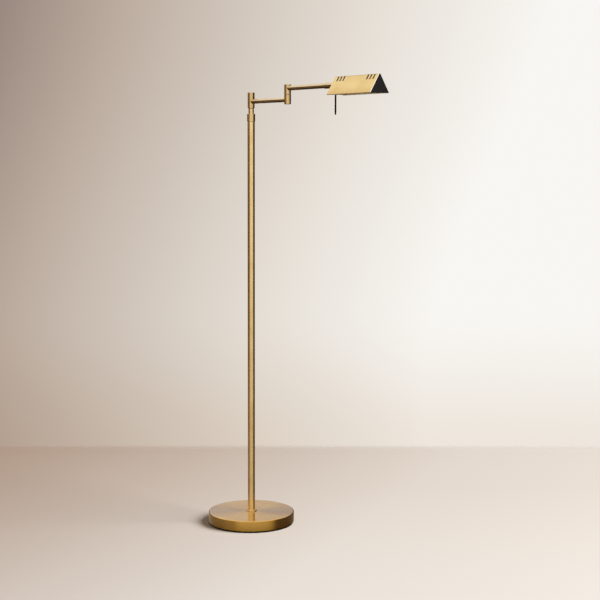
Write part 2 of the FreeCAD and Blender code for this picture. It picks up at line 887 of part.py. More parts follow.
def make_dimmer_control():
    """Rotary control at the closed end of the barrel."""
    outer = barrel_radius - barrel_wall - seat_gap
    return post(outer, barrel_ceiling - control_height, barrel_ceiling, wand_x)


def make_dimmer_gland():
    """Bush that closes the barrel round the wand."""
    outer = barrel_radius - barrel_wall - seat_gap
    hole = wand_diameter / 2 + running_gap
    return pipe(outer, hole, barrel_bottom, barrel_bottom + gland_height, wand_x)


def make_dimmer_wand():
    """Round rod with a head that turns the control inside the barrel."""
    shaft = post(wand_diameter / 2, tip_top, wand_top, wand_x)
    head = post(wand_diameter / 2 + wand_head_width, head_bottom, wand_top, wand_x)
    return shaft.fuse(head).removeSplitter()


def make_wand_tip():
    """Tapered end piece of the wand."""
    wide = tip_diameter / 2
    narrow = tip_end_diameter / 2
    profile = [
        (0, wand_bottom),
        (narrow - tip_edge, wand_bottom),
        (narrow, wand_bottom + tip_edge),
        (wide, tip_top - tip_edge),
        (wide - tip_edge / 2, tip_top),
        (0, tip_top),
    ]
    return turned(profile, wand_x)


def make_pole_lead():
    top = mast_bottom - bush_step - lead_spare
    return post(lead_diameter / 2, nut_bottom, top)


def make_mast_lead():
    return post(lead_diameter / 2, mast_bottom, hub_nut_top)


def arm_lead(start, end, height):
    """Lead lying on the lower wall of an arm tube."""
    radius = arm_lead_diameter / 2
    return rod(radius, start, end, height - arm_bore_radius + radius + lay_gap)


def make_lower_arm_lead():
    return arm_lead(hub_radius, lower_arm_reach - elbow_radius, lower_arm_height)


def make_upper_arm_lead():
    return arm_lead(lower_arm_reach + elbow_radius, spindle_start, upper_arm_height)


MAKERS = {
    "base_cover": make_base_cover,
    "base_weight": make_base_weight,
    "base_pad": make_base_pad,
    "cord_inlet": make_cord_inlet,
    "base_nipple": make_base_nipple,
    "base_washer": make_base_washer,
    "base_nut": make_base_nut,
    "pole_flange": make_pole_flange,
    "pole_foot": make_pole_foot,
    "lower_pole": make_lower_pole,
    "pole_coupler": make_pole_coupler,
    "upper_pole": make_upper_pole,
    "collar_seat": make_collar_seat,
    "grip_collet": make_grip_collet,
    "pole_lead": make_pole_lead,
    "height_collar": make_height_collar,
    "mast_tube": make_mast_tube,
    "guide_bush": make_guide_bush,
    "hub_stem": make_hub_stem,
    "hub_friction_washer": make_hub_friction_washer,
    "hub_spring_washer": make_hub_spring_washer,
    "hub_nut": make_hub_nut,
    "mast_lead": make_mast_lead,
    "hub_body": make_hub_body,
    "hub_cap": make_hub_cap,
    "lower_arm": make_lower_arm,
    "lower_arm_lead": make_lower_arm_lead,
    "elbow_lower": make_elbow_lower,
    "elbow_bottom_cap": make_elbow_bottom_cap,
    "elbow_friction_washer": make_elbow_friction_washer,
    "elbow_upper": make_elbow_upper,
    "elbow_cap": make_elbow_cap,
    "elbow_stem": make_elbow_stem,
    "elbow_spring_washer": make_elbow_spring_washer,
    "elbow_nut": make_elbow_nut,
    "upper_arm": make_upper_arm,
    "upper_arm_lead": make_upper_arm_lead,
    "roll_spindle": make_roll_spindle,
    "roll_washer": make_roll_washer,
    "spindle_retainer": make_spindle_retainer,
    "swivel_sleeve": make_swivel_sleeve,
    "arm_end_plate": make_arm_end_plate,
    "shade_shell": make_shade_shell,
    "tip_end_cap": make_tip_end_cap,
    "light_bar": make_light_bar,
    "bar_screws": make_bar_screws,
    "led_board": make_led_board,
    "led_chips": make_led_chips,
    "light_lens": make_light_lens,
    "led_driver": make_led_driver,
    "dimmer_barrel": make_dimmer_barrel,
    "dimmer_control": make_dimmer_control,
    "dimmer_gland": make_dimmer_gland,
    "dimmer_wand": make_dimmer_wand,
    "wand_tip": make_wand_tip,
}

os.makedirs("parts", exist_ok=True)
for node, maker in MAKERS.items():
    shape = maker()
    if not shape.isValid():
        print("invalid shape:", node)
    box = shape.BoundBox
    print(f"{node}: {len(shape.Solids)} solid(s), {shape.Volume / 1000:.2f} cm3, height {box.ZLength:.1f}")
    shape.exportStep(f"parts/{node}.step")
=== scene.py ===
"""Dresses the adjustable floor lamp: camera, studio, finishes and the pieces that show more detail than the CAD."""

import json
import math

import bmesh
import bpy
from mathutils import Matrix, Vector


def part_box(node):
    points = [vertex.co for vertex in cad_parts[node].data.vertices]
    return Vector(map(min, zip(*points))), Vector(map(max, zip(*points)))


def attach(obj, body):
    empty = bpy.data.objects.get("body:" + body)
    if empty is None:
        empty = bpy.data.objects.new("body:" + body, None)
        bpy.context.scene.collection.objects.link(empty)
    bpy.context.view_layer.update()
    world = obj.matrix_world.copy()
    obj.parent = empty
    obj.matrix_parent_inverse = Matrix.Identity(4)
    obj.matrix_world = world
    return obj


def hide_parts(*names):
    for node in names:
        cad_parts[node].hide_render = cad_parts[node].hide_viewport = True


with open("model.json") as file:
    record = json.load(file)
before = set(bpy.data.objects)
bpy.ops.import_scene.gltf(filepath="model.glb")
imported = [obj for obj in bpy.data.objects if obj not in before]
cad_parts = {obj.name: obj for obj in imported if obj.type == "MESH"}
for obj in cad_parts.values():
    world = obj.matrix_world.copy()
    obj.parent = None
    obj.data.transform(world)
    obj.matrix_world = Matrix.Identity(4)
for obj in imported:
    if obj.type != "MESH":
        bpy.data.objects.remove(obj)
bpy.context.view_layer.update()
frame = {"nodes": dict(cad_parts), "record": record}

nodes = frame["nodes"]
MM = 0.001
Z_AXIS = Vector((0, 0, 1))

# Camera at the photograph's viewing angle. The arms point towards it, 56 degrees out of the picture's plane.
EYE = Vector((3.113554, -1.962986, 0.993035))
TURN = math.radians(55.7546)
DIP = math.radians(-6.0461)
ROLL = math.radians(0.1706)
LENS = 83.5226

# Directions on the floor, as the camera sees them
AHEAD = Vector((-math.sin(TURN), math.cos(TURN), 0))
RIGHT = Vector((math.cos(TURN), math.sin(TURN), 0))


def linear(code):
    """Linear colour of an sRGB hex value."""
    levels = [int(code[i : i + 2], 16) / 255 for i in (1, 3, 5)]
    return (*[c / 12.92 if c <= 0.04045 else ((c + 0.055) / 1.055) ** 2.4 for c in levels], 1.0)


def add(tree, kind, sockets=(), **settings):
    """Adds a shader node, sets its properties, and links or sets its sockets by name or place."""
    node = tree.nodes.new("ShaderNode" + kind)
    for name, value in settings.items():
        setattr(node, name, value)
    for name, value in dict(sockets).items():
        if isinstance(value, bpy.types.NodeSocket):
            tree.links.new(value, node.inputs[name])
        else:
            node.inputs[name].default_value = value
    return node


def new_material(name):
    """An empty material with its Principled shader, and its node tree."""
    material = bpy.data.materials.new(name)
    material.use_nodes = True
    tree = material.node_tree
    shader = tree.nodes["Principled BSDF"]
    return material, tree, shader


def set_sockets(tree, shader, **values):
    """Sets or links the shader's sockets, with underscores for the spaces in their names."""
    for name, value in values.items():
        socket = shader.inputs[name.replace("_", " ")]
        if isinstance(value, bpy.types.NodeSocket):
            tree.links.new(value, socket)
        else:
            socket.default_value = value


# Camera

camera = bpy.data.objects.new("camera", bpy.data.cameras.new("camera"))
bpy.context.scene.collection.objects.link(camera)
aim = Matrix.Rotation(TURN, 4, "Z") @ Matrix.Rotation(math.pi / 2 + DIP, 4, "X") @ Matrix.Rotation(ROLL, 4, "Z")
camera.matrix_world = Matrix.Translation(EYE) @ aim
camera.data.lens = LENS
camera.data.clip_start = 0.05
camera.data.clip_end = 200
bpy.context.scene.camera = camera
bpy.context.scene.view_settings.view_transform = "Standard"


# Studio: a pale floor that fades into a pale backdrop, a light tent for the metal and one softbox from the right


def pale_floor():
    """Sweep of matt paper with painted shade: coloured darker away from the softbox and lighter at the front. Its far
    edge fades out where it curves up.
    """
    # metres beyond the pole where it starts to fade and is gone, and how far it goes to each side
    curve, end, reach = 0.918, 1.021, 60
    material, tree, shader = new_material("matt_paper_floor")
    place = add(tree, "TexCoord").outputs["Object"]
    grain = add(tree, "TexNoise", {"Vector": place, "Scale": 90.0, "Detail": 3.0})
    depth = add(tree, "VectorMath", {0: place, 1: AHEAD}, operation="DOT_PRODUCT").outputs["Value"]
    # painted light: the paper is coloured lighter at the front than further back
    share = add(tree, "MapRange", {"Value": depth, "From Min": 0.4, "From Max": -0.75}).outputs["Result"]
    share = add(tree, "Math", {0: grain.outputs["Fac"], 1: 0.04, 2: share}, operation="MULTIPLY_ADD").outputs[0]
    near = {"Factor": share, 6: linear("#ccc8c5"), 7: linear("#d2d1d1")}
    near = add(tree, "Mix", near, data_type="RGBA").outputs[2]
    # painted shade: the paper is coloured darker to the left and back, away from the softbox
    slope = add(tree, "VectorMath", {0: place, 1: RIGHT - AHEAD * 0.4}, operation="DOT_PRODUCT").outputs["Value"]
    dim = add(tree, "MapRange", {"Value": slope, "From Min": 0.3, "From Max": -1.3}).outputs["Result"]
    tone = add(tree, "Mix", {"Factor": dim, 6: near, 7: linear("#aa978a")}, data_type="RGBA").outputs[2]
    fade = {"Value": depth, "From Min": curve, "From Max": end, "To Min": 1.0, "To Max": 0.0}
    fade = add(tree, "MapRange", fade, interpolation_type="SMOOTHSTEP").outputs["Result"]
    # painted shade: where the sheet is half see-through it comes out brighter than the floor and the wall beside it,
    # so its colour is darkened towards black there
    thin = {"Value": depth, "From Min": curve + 0.01, "From Max": end + 0.005, "To Max": 0.46}
    thin = add(tree, "MapRange", thin, interpolation_type="SMOOTHSTEP").outputs["Result"]
    tone = add(tree, "Mix", {"Factor": thin, 6: tone, 7: linear("#000000")}, data_type="RGBA").outputs[2]
    set_sockets(tree, shader, Base_Color=tone, Roughness=0.9, Alpha=fade, Specular_IOR_Level=0.2)
    sheet = bmesh.new()
    bmesh.ops.create_grid(sheet, x_segments=1, y_segments=1, size=reach)
    mesh = bpy.data.meshes.new("floor")
    sheet.to_mesh(mesh)
    sheet.free()
    mesh.materials.append(material)
    floor = bpy.data.objects.new("floor", mesh)
    bpy.context.scene.collection.objects.link(floor)
    # the metal is lit as in a light tent, where cards keep the floor out of its reflections
    floor.visible_glossy = False


def light_tent():
    """Soft light all round: a bright card behind the camera, bright above, dim at both sides, dark below."""
    world = bpy.data.worlds.new("studio")
    bpy.context.scene.world = world
    world.use_nodes = True
    tree = world.node_tree
    tree.nodes.clear()
    way = add(tree, "TexCoord").outputs["Generated"]
    flat = add(tree, "VectorMath", {0: way, 1: (1, 1, 0)}, operation="MULTIPLY").outputs[0]
    flat = add(tree, "VectorMath", {0: flat}, operation="NORMALIZE").outputs[0]

    def card(look, hung, start, end, low=0.0, high=1.0):
        """A card's soft edge: its light goes from low to high as the look turns to where it hangs, start to end."""
        share = add(tree, "VectorMath", {0: look, 1: hung}, operation="DOT_PRODUCT").outputs["Value"]
        ends = {"Value": share, "From Min": start, "From Max": end, "To Min": low, "To Max": high}
        return add(tree, "MapRange", ends, interpolation_type="SMOOTHSTEP").outputs["Result"]

    # the front card is crisp at eye level, and below it spreads to the left over the floor
    crisp = card(flat, RIGHT * 0.22 - AHEAD, 0.46, 0.8)
    spread = card(flat, RIGHT * -0.25 - AHEAD, -0.1, 0.9, high=0.56)
    front = add(tree, "Mix", {"Factor": card(way, Z_AXIS, -0.07, -0.2), 2: crisp, 3: spread}).outputs[0]
    halo = card(flat, RIGHT * -0.25 - AHEAD, 0.0, 0.8, high=0.06)
    front = add(tree, "Math", {0: front, 1: halo}, operation="MAXIMUM").outputs[0]
    # far down the metal sees the pale floor, more on the left
    ground = {0: card(flat, RIGHT, 1.0, -1.0, 0.14, 0.34), 1: card(way, Z_AXIS, -0.14, -0.23)}
    ground = add(tree, "Math", ground, operation="MULTIPLY").outputs[0]
    front = add(tree, "Math", {0: front, 1: ground}, operation="MAXIMUM").outputs[0]
    upper = card(way, Z_AXIS, 0.09, 0.2, low=1.0, high=0.55)
    front = add(tree, "Math", {0: front, 1: upper}, operation="MULTIPLY").outputs[0]
    # the wall behind is pale and cool just above eye level, more on the left, and warm light comes from above it
    lifted = Z_AXIS - RIGHT * 0.15
    wall = card(flat, AHEAD - RIGHT * 0.8, 0.8, 1.12)
    for band in (card(way, Z_AXIS, 0.13, 0.21), card(way, lifted, 0.45, 0.2)):
        wall = add(tree, "Math", {0: wall, 1: band}, operation="MULTIPLY").outputs[0]
    glow = add(tree, "Mix", {"Factor": card(way, lifted, 0.17, 0.5), 2: front, 3: 0.95}).outputs[0]
    lower = card(way, Z_AXIS, -0.2, -0.42, low=1.0, high=0.05)
    glow = add(tree, "Math", {0: glow, 1: lower}, operation="MULTIPLY").outputs[0]
    warmth = add(tree, "ValToRGB", {"Fac": glow})
    warmth.color_ramp.elements[0].color = linear("#261602")
    warmth.color_ramp.elements[1].color = linear("#ffffff")
    warmth.color_ramp.elements.new(0.5).color = linear("#bea98e")
    cool = {"Factor": wall, 6: warmth.outputs["Color"], 7: linear("#cfcdd2")}
    cool = add(tree, "Mix", cool, data_type="RGBA").outputs[2]
    path = add(tree, "LightPath")
    tent = add(tree, "Background", {"Color": cool, "Strength": 1.2})
    # what isn't metal gets an even, warm and much weaker fill
    fill = add(tree, "Background", {"Color": linear("#ffe0bc"), "Strength": 0.16})
    tent = add(tree, "MixShader", {0: path.outputs["Is Diffuse Ray"], 1: tent.outputs[0], 2: fill.outputs[0]})

    # the backdrop itself, darker to the left, to the top and just above the floor
    across = add(tree, "VectorMath", {0: way, 1: RIGHT}, operation="DOT_PRODUCT").outputs["Value"]
    across = {0: across, 1: card(way, Z_AXIS, -0.16, 0.158, high=0.09)}
    across = add(tree, "Math", across, operation="SUBTRACT").outputs[0]
    share = add(tree, "MapRange", {"Value": across, "From Min": -0.297, "From Max": 0.1485}).outputs["Result"]
    tones = add(tree, "ValToRGB", {"Fac": share})
    tones.color_ramp.elements[0].color = linear("#96857c")
    tones.color_ramp.elements[1].position = 0.87
    tones.color_ramp.elements[1].color = linear("#f8f6f2")
    for at, code in ((0.2, "#bcac9f"), (0.6, "#e6dfd6")):
        tones.color_ramp.elements.new(at).color = linear(code)
    foot = {"Factor": card(way, Z_AXIS, -0.107, -0.213), 6: tones.outputs["Color"], 7: linear("#f4eee8")}
    foot = add(tree, "Mix", foot, data_type="RGBA", blend_type="MULTIPLY").outputs[2]
    backdrop = add(tree, "Background", {"Color": foot})

    both = add(tree, "MixShader", {0: path.outputs["Is Camera Ray"], 1: tent.outputs[0], 2: backdrop.outputs[0]})
    add(tree, "OutputWorld", {"Surface": both.outputs[0]})


def softbox(name, place, size, power):
    """A square soft light that points at the base."""
    lamp = bpy.data.lights.new(name, "AREA")
    lamp.size = size
    lamp.energy = power
    lamp.color = linear("#fffaf4")[:3]
    item = bpy.data.objects.new(name, lamp)
    bpy.context.scene.collection.objects.link(item)
    item.location = place
    item.rotation_euler = (-place).to_track_quat("-Z", "Y").to_euler()
    item.visible_glossy = False


pale_floor()
light_tent()
softbox("softbox_right", RIGHT * 7.2 - AHEAD * 2.4 + Z_AXIS * 6.7, size=6.0, power=1750)


# Finishes


def brushed_brass(name, light, dark, axis="Z", centre=(0, 0, 0), shine=0.2, spread=0.92, lacquer=0.3, gloss=0.1):
    """Brass, satin brushed on a lathe or a belt so that the lines run round the axis, then lacquered.

    The lines spread a reflection along the axis and leave it sharp across, and the lacquer adds a thin clear gloss.
    They are 0.35 mm apart and 0.006 mm deep, both coarser than real so that they show.
    """
    spacing, groove = 0.35 * MM, 0.006 * MM
    material, tree, shader = new_material(name)
    place = add(tree, "TexCoord").outputs["Object"]
    turn = {"Z": (0, 0, 0), "X": (0, math.pi / 2, 0)}[axis]
    local = add(tree, "Mapping", {"Vector": place, "Location": centre, "Rotation": turn}, vector_type="TEXTURE")
    length = add(tree, "SeparateXYZ", {"Vector": local.outputs[0]}).outputs["Z"]
    flat = add(tree, "VectorMath", {0: local.outputs[0], 1: (1, 1, 0)}, operation="MULTIPLY").outputs[0]
    radius = add(tree, "VectorMath", {0: flat}, operation="LENGTH").outputs["Value"]
    ring = add(tree, "CombineXYZ", {"X": radius, "Y": length})
    # each line fades and starts again within about 20 mm
    drift = add(tree, "VectorMath", {0: flat, 1: (0.02, 0.02, 0)}, operation="MULTIPLY")
    along = add(tree, "VectorMath", {0: ring.outputs[0], 1: drift.outputs[0]}, operation="ADD")
    lines = add(tree, "TexNoise", {"Vector": along.outputs[0], "Scale": 1 / spacing, "Detail": 2.0}).outputs["Fac"]
    # old lacquer darkens the metal in soft clouds about 40 mm across
    clouds = add(tree, "TexNoise", {"Vector": place, "Scale": 25.0, "Detail": 2.0, "Roughness": 0.4})
    share = add(tree, "Math", {0: lines, 1: 0.2, 2: clouds.outputs["Fac"]}, operation="MULTIPLY_ADD")
    share = {"Value": share.outputs[0], "From Min": 0.35, "From Max": 0.85}
    share = add(tree, "MapRange", share).outputs["Result"]
    tone = add(tree, "Mix", {"Factor": share, 6: linear(dark), 7: linear(light)}, data_type="RGBA")
    rough = {"Value": lines, "From Min": 0.3, "From Max": 0.7, "To Min": shine - 0.02, "To Max": shine + 0.03}
    rough = add(tree, "MapRange", rough)
    bump = add(tree, "Bump", {"Height": lines, "Strength": 0.2, "Distance": groove})
    around = add(tree, "Tangent", direction_type="RADIAL", axis=axis)
    set_sockets(
        tree,
        shader,
        Base_Color=tone.outputs[2],
        Metallic=1.0,
        Roughness=rough.outputs["Result"],
        Normal=bump.outputs[0],
        Tangent=around.outputs[0],
        Anisotropic=spread,
        Anisotropic_Rotation=0.25,
        Coat_Weight=lacquer,
        Coat_Roughness=gloss,
        Coat_IOR=1.5,
    )
    return material


def shade_sheet(light, dark):
    """Brass sheet, brushed along its length before it was bent, clear lacquered outside. Inside it is sprayed pale
    below the light bar and carries painted shade, dark brown, above it.

    Its brushed lines are 0.4 mm apart, coarser than real. Its edge beside the end cap is rounded over by a bump,
    and a painted highlight colours it nearly white.
    """
    spacing, groove = 0.4 * MM, 0.006 * MM
    material, tree, shader = new_material("satin_brass_sheet")
    coordinates = add(tree, "TexCoord")
    place = coordinates.outputs["Object"]
    low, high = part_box("shade_shell")
    middle = (low + high) / 2
    local = add(tree, "VectorMath", {0: place, 1: middle}, operation="SUBTRACT").outputs[0]
    parts = add(tree, "SeparateXYZ", {"Vector": local}).outputs
    stretched = add(tree, "VectorMath", {0: local, 1: (0.02, 1, 1)}, operation="MULTIPLY")
    lines = add(tree, "TexNoise", {"Vector": stretched.outputs[0], "Scale": 1 / spacing, "Detail": 2.0})
    lines = lines.outputs["Fac"]
    clouds = add(tree, "TexNoise", {"Vector": place, "Scale": 22.0, "Detail": 1.0, "Roughness": 0.4})
    share = add(tree, "Math", {0: lines, 1: 0.25, 2: clouds.outputs["Fac"]}, operation="MULTIPLY_ADD")
    share = add(tree, "MapRange", {"Value": share.outputs[0], "From Min": 0.1, "From Max": 0.75}).outputs["Result"]
    # painted shade: the sheet's tone darkens towards the lower edge
    upper = {"Value": parts["Z"], "From Min": -22 * MM, "From Max": -2 * MM, "To Min": 0.3, "To Max": 1.0}
    upper = add(tree, "MapRange", upper, interpolation_type="SMOOTHSTEP").outputs["Result"]
    share = add(tree, "Math", {0: share, 1: upper}, operation="MULTIPLY").outputs[0]
    tone = add(tree, "Mix", {"Factor": share, 6: linear(dark), 7: linear(light)}, data_type="RGBA")
    # painted shade: dark brown along the fold, and about 1.5 mm round the slots so that they look dark
    middle_slot, pitch = 58.8 * MM, 12.2 * MM
    row = add(tree, "Math", {0: parts["X"]}, operation="ABSOLUTE")
    row = add(tree, "Math", {0: row.outputs[0], 1: middle_slot}, operation="SUBTRACT")
    row = add(tree, "Math", {0: row.outputs[0]}, operation="ABSOLUTE").outputs[0]
    gap = add(tree, "Math", {0: row, 1: pitch / 2}, operation="PINGPONG").outputs[0]
    edges = []
    for measure, start, end, most in (
        (gap, 3.2, 2.8, 1.0),
        (row, 15.4, 15.2, 1.0),
        (parts["Z"], 9.6, 10.4, 1.0),
        (parts["Z"], 19.5, 21.5, 0.4),
        (parts["Z"], -6, -9, 1.0),
    ):
        ends = {"Value": measure, "From Min": start * MM, "From Max": end * MM, "To Max": most}
        edges.append(add(tree, "MapRange", ends, interpolation_type="SMOOTHSTEP").outputs["Result"])
    slot_and_fold_shade, row_end, slot_foot, fold, inner_shade_line = edges
    for edge, join in ((row_end, "MULTIPLY"), (slot_foot, "MULTIPLY"), (fold, "MAXIMUM")):
        slot_and_fold_shade = add(tree, "Math", {0: slot_and_fold_shade, 1: edge}, operation=join).outputs[0]
    tone = {"Factor": slot_and_fold_shade, 6: tone.outputs[2], 7: linear("#5e3c04")}
    tone = add(tree, "Mix", tone, data_type="RGBA")
    # outer faces look away from the shade's middle line, and the slots' walls and the inside don't
    spoke = add(tree, "VectorMath", {0: local, 1: (0, 1, 1)}, operation="MULTIPLY").outputs[0]
    outward = add(tree, "VectorMath", {0: coordinates.outputs["Normal"], 1: spoke}, operation="DOT_PRODUCT")
    outside = {"Value": outward.outputs["Value"], "From Min": 1 * MM, "From Max": 4 * MM}
    outside = add(tree, "MapRange", outside).outputs["Result"]
    half = high.x - middle.x
    # painted highlight: the last 2 to 3 mm of the sheet beside the end cap
    end = {"Value": parts["X"], "From Min": half - 3.2 * MM, "From Max": half - 2.2 * MM}
    end = add(tree, "MapRange", end, interpolation_type="SMOOTHSTEP").outputs["Result"]
    lit = add(tree, "Math", {0: outside, 1: end}, operation="MAXIMUM").outputs[0]
    # inside, the paint is pale below the light bar, and above it is painted shade, dark brown, which shows through
    # the slots
    spray_and_shade = {"Factor": inner_shade_line, 6: linear("#2b1d0c"), 7: linear("#eddfc4")}
    spray_and_shade = add(tree, "Mix", spray_and_shade, data_type="RGBA")
    faced = add(tree, "Mix", {"Factor": lit, 6: spray_and_shade.outputs[2], 7: tone.outputs[2]}, data_type="RGBA")
    # the underside of the turned-in lips is sprayed too
    down = add(tree, "SeparateXYZ", {"Vector": coordinates.outputs["Normal"]}).outputs["Z"]
    down = add(tree, "MapRange", {"Value": down, "From Min": -0.6, "From Max": -0.9}).outputs["Result"]
    faced = add(tree, "Mix", {"Factor": down, 6: faced.outputs[2], 7: spray_and_shade.outputs[2]}, data_type="RGBA")
    bare = add(tree, "Math", {0: lit, 1: down}, operation="SUBTRACT", use_clamp=True).outputs[0]
    # painted highlight: the sheet's edge beside the end cap is coloured nearly white
    edge_highlight = add(tree, "Mix", {"Factor": end, 6: faced.outputs[2], 7: linear("#fff5d8")}, data_type="RGBA")
    rough = {"Value": lines, "From Min": 0.3, "From Max": 0.7, "To Min": 0.24, "To Max": 0.32}
    rough = add(tree, "MapRange", rough)
    turned = {"Value": parts["X"], "From Min": half - 3.2 * MM, "From Max": half, "To Min": 1.0, "To Max": 0.0}
    turned = add(tree, "MapRange", turned, interpolation_type="SMOOTHSTEP").outputs["Result"]
    rolled = add(tree, "Bump", {"Height": turned, "Strength": 1.0, "Distance": 0.8 * MM})
    bump = add(tree, "Bump", {"Height": lines, "Strength": 0.3, "Distance": groove, "Normal": rolled.outputs[0]})
    set_sockets(
        tree,
        shader,
        Base_Color=edge_highlight.outputs[2],
        Metallic=bare,
        Roughness=rough.outputs["Result"],
        Normal=bump.outputs[0],
        Tangent=add(tree, "Tangent", direction_type="RADIAL", axis="X").outputs[0],
        Anisotropic=0.6,
        Coat_Weight=0.5,
        Coat_Roughness=0.12,
        Coat_IOR=1.48,
    )
    return material


def moulded(name, code, pale, roughness, grit, lift, speckle=0.0, ior=1.49):
    """Moulded or cast surface: fine grit of one size in millimetres, and tone that drifts between two colours."""
    material, tree, shader = new_material(name)
    place = add(tree, "TexCoord").outputs["Object"]
    fine = add(tree, "TexNoise", {"Vector": place, "Scale": 1 / (grit * MM), "Detail": 3.0})
    broad = add(tree, "TexNoise", {"Vector": place, "Scale": 60.0, "Detail": 3.0})
    share = add(tree, "Math", {0: fine.outputs["Fac"], 1: speckle, 2: broad.outputs["Fac"]}, operation="MULTIPLY_ADD")
    share = {"Value": share.outputs[0], "From Min": 0.3, "From Max": 0.8 + speckle}
    share = add(tree, "MapRange", share).outputs["Result"]
    tone = add(tree, "Mix", {"Factor": share, 6: linear(code), 7: linear(pale)}, data_type="RGBA")
    rough = {"Value": fine.outputs["Fac"], "To Min": roughness - 0.08, "To Max": roughness + 0.08}
    rough = add(tree, "MapRange", rough)
    bump = add(tree, "Bump", {"Height": fine.outputs["Fac"], "Strength": 0.5, "Distance": lift * MM})
    set_sockets(
        tree,
        shader,
        Base_Color=tone.outputs[2],
        Roughness=rough.outputs["Result"],
        Normal=bump.outputs[0],
        IOR=ior,
    )
    return material


# Heights of the arms' axes, and how far along them the elbow's and the wand's axes are, in metres
LOWER_ARM = 1.1254
UPPER_ARM = 1.1538
ELBOW = 0.172
WAND = 0.3788
# The sleeve's outer radius, in millimetres
SLEEVE = 7.3
# Light and dark tone of the brass: the pole is palest, the turned joints browner and the drawn arms greyer
POLISH = "#f2d69c", "#e0bf81"
ARM_POLISH = "#dac39c", "#cab081"
JOINT_POLISH = "#e4c78e", "#d2b176"
brass_upright = brushed_brass("satin_brass_upright", *POLISH)
brass_hub = brushed_brass("satin_brass_hub", *JOINT_POLISH)
brass_elbow = brushed_brass("satin_brass_elbow", *JOINT_POLISH, centre=(ELBOW, 0, 0))
brass_barrel = brushed_brass("satin_brass_barrel", *POLISH, centre=(WAND, 0, 0))
brass_lower_arm = brushed_brass("satin_brass_lower_arm", *ARM_POLISH, axis="X", centre=(0, 0, LOWER_ARM))
brass_upper_arm = brushed_brass("satin_brass_upper_arm", *ARM_POLISH, axis="X", centre=(0, 0, UPPER_ARM))
FINISHES = {
    "satin_brass": brass_upright,
    "shade_brass": shade_sheet("#e1c47f", "#cba55a"),
    "base_brass": brushed_brass(
        "spun_brass_base", "#d8ab4e", "#c8973d", shine=0.27, spread=0.94, lacquer=1.0, gloss=0.05
    ),
    "turned_brass": brushed_brass("turned_brass", "#dfbc78", "#c79f58", lacquer=0.0),
    "cast_iron": moulded("cast_iron", "#2e2b28", "#4a443e", 0.75, 1.5, 0.2, 0.5),
    "black_rubber": moulded("black_rubber", "#0c0905", "#17120c", 0.75, 0.6, 0.05),
    "black_plastic": moulded("moulded_abs_black", "#141414", "#1b1b1b", 0.55, 0.35, 0.03, 0.4),
    "wand_black": moulded("enamelled_steel_black", "#080502", "#0d0804", 0.5, 1.2, 0.01),
    "zinc_steel": moulded("zinc_plated_steel", "#a9a9a6", "#c4c4c0", 0.35, 0.8, 0.02),
    "black_nylon": moulded("black_nylon", "#151312", "#211e1b", 0.55, 0.5, 0.02),
    "lead_sheath": moulded("pvc_sheath_black", "#0f0f0f", "#1c1c1c", 0.4, 0.7, 0.02),
    "heat_sink": moulded("anodised_aluminium", "#c3c3c1", "#d2d2d0", 0.4, 0.5, 0.01),
    "circuit_board": moulded("white_solder_mask", "#e4e4dc", "#efefe8", 0.35, 0.5, 0.01),
    "led_emitter": moulded("yellow_phosphor", "#e8c24a", "#f2d877", 0.5, 0.3, 0.01),
    "frosted_lens": moulded("frosted_acrylic", "#e9e7e0", "#f3f2ee", 0.45, 0.4, 0.01),
}
for slot in ("zinc_steel", "heat_sink"):
    FINISHES[slot].node_tree.nodes["Principled BSDF"].inputs["Metallic"].default_value = 1.0
# these blacks are matt, and throw back little of the bright room
for slot, level in (("black_plastic", 0.2), ("wand_black", 0.005), ("black_rubber", 0.2)):
    FINISHES[slot].node_tree.nodes["Principled BSDF"].inputs["Specular IOR Level"].default_value = level
OWN_AXIS = {
    "lower_arm": brass_lower_arm,
    "upper_arm": brass_upper_arm,
    "arm_end_plate": brass_upper_arm,
    "elbow_lower": brass_elbow,
    "elbow_upper": brass_elbow,
    "dimmer_barrel": brass_barrel,
}


def dress(item, material):
    item.data.materials.clear()
    item.data.materials.append(material)


for part in frame["record"]["subparts"]:
    dress(nodes[part["node"]], OWN_AXIS.get(part["node"], FINISHES[part["material_slot"]]))


# Pieces made again, in millimetres, with the soft edges and true rounds that the CAD leaves out


def corners(node):
    """A CAD node's lowest and highest corners, in millimetres."""
    return [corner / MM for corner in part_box(node)]


def lathe(profile, steps=64):
    """Spins an outline of (radius, height) corners round the Z axis. It is closed, or starts and ends on the axis."""
    shape = bmesh.new()
    line = [shape.verts.new((radius, 0, height)) for radius, height in profile]
    ends = line[1:] if profile[0][0] == 0 else line[1:] + line[:1]
    for start, end in zip(line, ends):
        shape.edges.new((start, end))
    bmesh.ops.spin(
        shape,
        geom=shape.verts[:] + shape.edges[:],
        cent=(0, 0, 0),
        axis=(0, 0, 1),
        angle=2 * math.pi,
        steps=steps,
        use_merge=True,
    )
    bmesh.ops.remove_doubles(shape, verts=shape.verts[:], dist=0.001)
    bmesh.ops.recalc_face_normals(shape, faces=shape.faces[:])
    return shape


def soften(shape, width, edges, segments=3):
    bmesh.ops.bevel(
        shape,
        geom=edges,
        offset=width,
        offset_type="OFFSET",
        affect="EDGES",
        segments=segments,
        profile=0.5,
        material=-1,
        clamp_overlap=True,
    )


def circle(shape, radius, height):
    """The edges of one circle about the Z axis."""

    def on_it(vert):
        return abs(vert.co.xy.length - radius) < 0.01 and abs(vert.co.z - height) < 0.01

    return [edge for edge in shape.edges if all(on_it(vert) for vert in edge.verts)]


def shift(shape, **by):
    bmesh.ops.translate(shape, verts=shape.verts[:], vec=[by.get(axis, 0) for axis in "xyz"])


def lay_along_x(shape, height):
    """Turns a piece made round Z so that it lies round a line along X at that height."""
    bmesh.ops.rotate(shape, verts=shape.verts[:], cent=(0, 0, 0), matrix=Matrix.Rotation(math.pi / 2, 3, "Y"))
    shift(shape, z=height)


